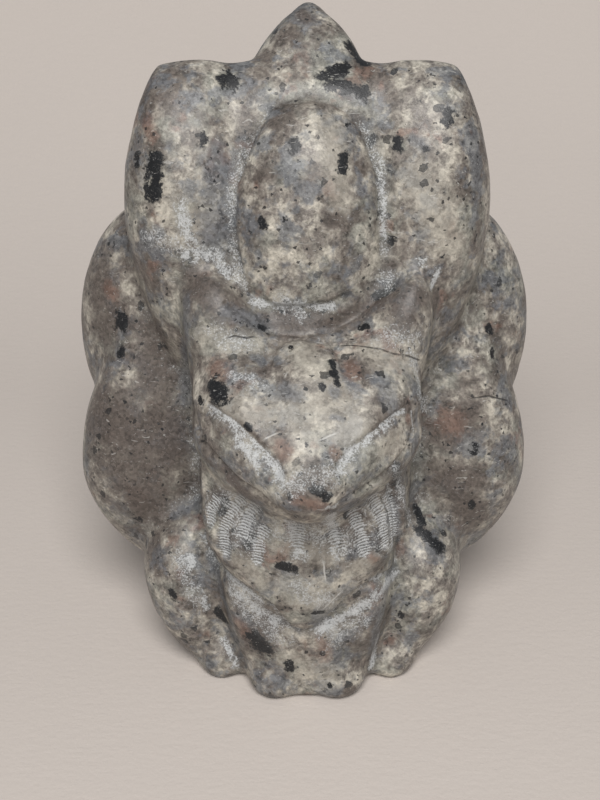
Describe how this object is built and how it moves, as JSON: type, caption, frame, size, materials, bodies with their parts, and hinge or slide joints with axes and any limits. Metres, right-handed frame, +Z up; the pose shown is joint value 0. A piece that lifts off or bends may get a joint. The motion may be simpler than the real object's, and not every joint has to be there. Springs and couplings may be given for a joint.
{
  "type": "nine-tailed fox carving",
  "caption": "Palm-sized seated fox with a fan of upright tails, carved in one piece from speckled grey stone, flat underneath.",
  "frame": {"origin": "middle of the carving's outline, on the flat underside", "axes": "+Z up through the tallest tail, -Y the way the fox looks, +X to the fox's left"},
  "size_m": [0.0718, 0.065, 0.098],
  "materials": {
    "speckled_stone": "polished grey stone with cream flecks and black grains, dusty white in the hollows"
  },
  "bodies": {
    "root": {"fox_carving": "speckled_stone"}
  },
  "joints": []
}
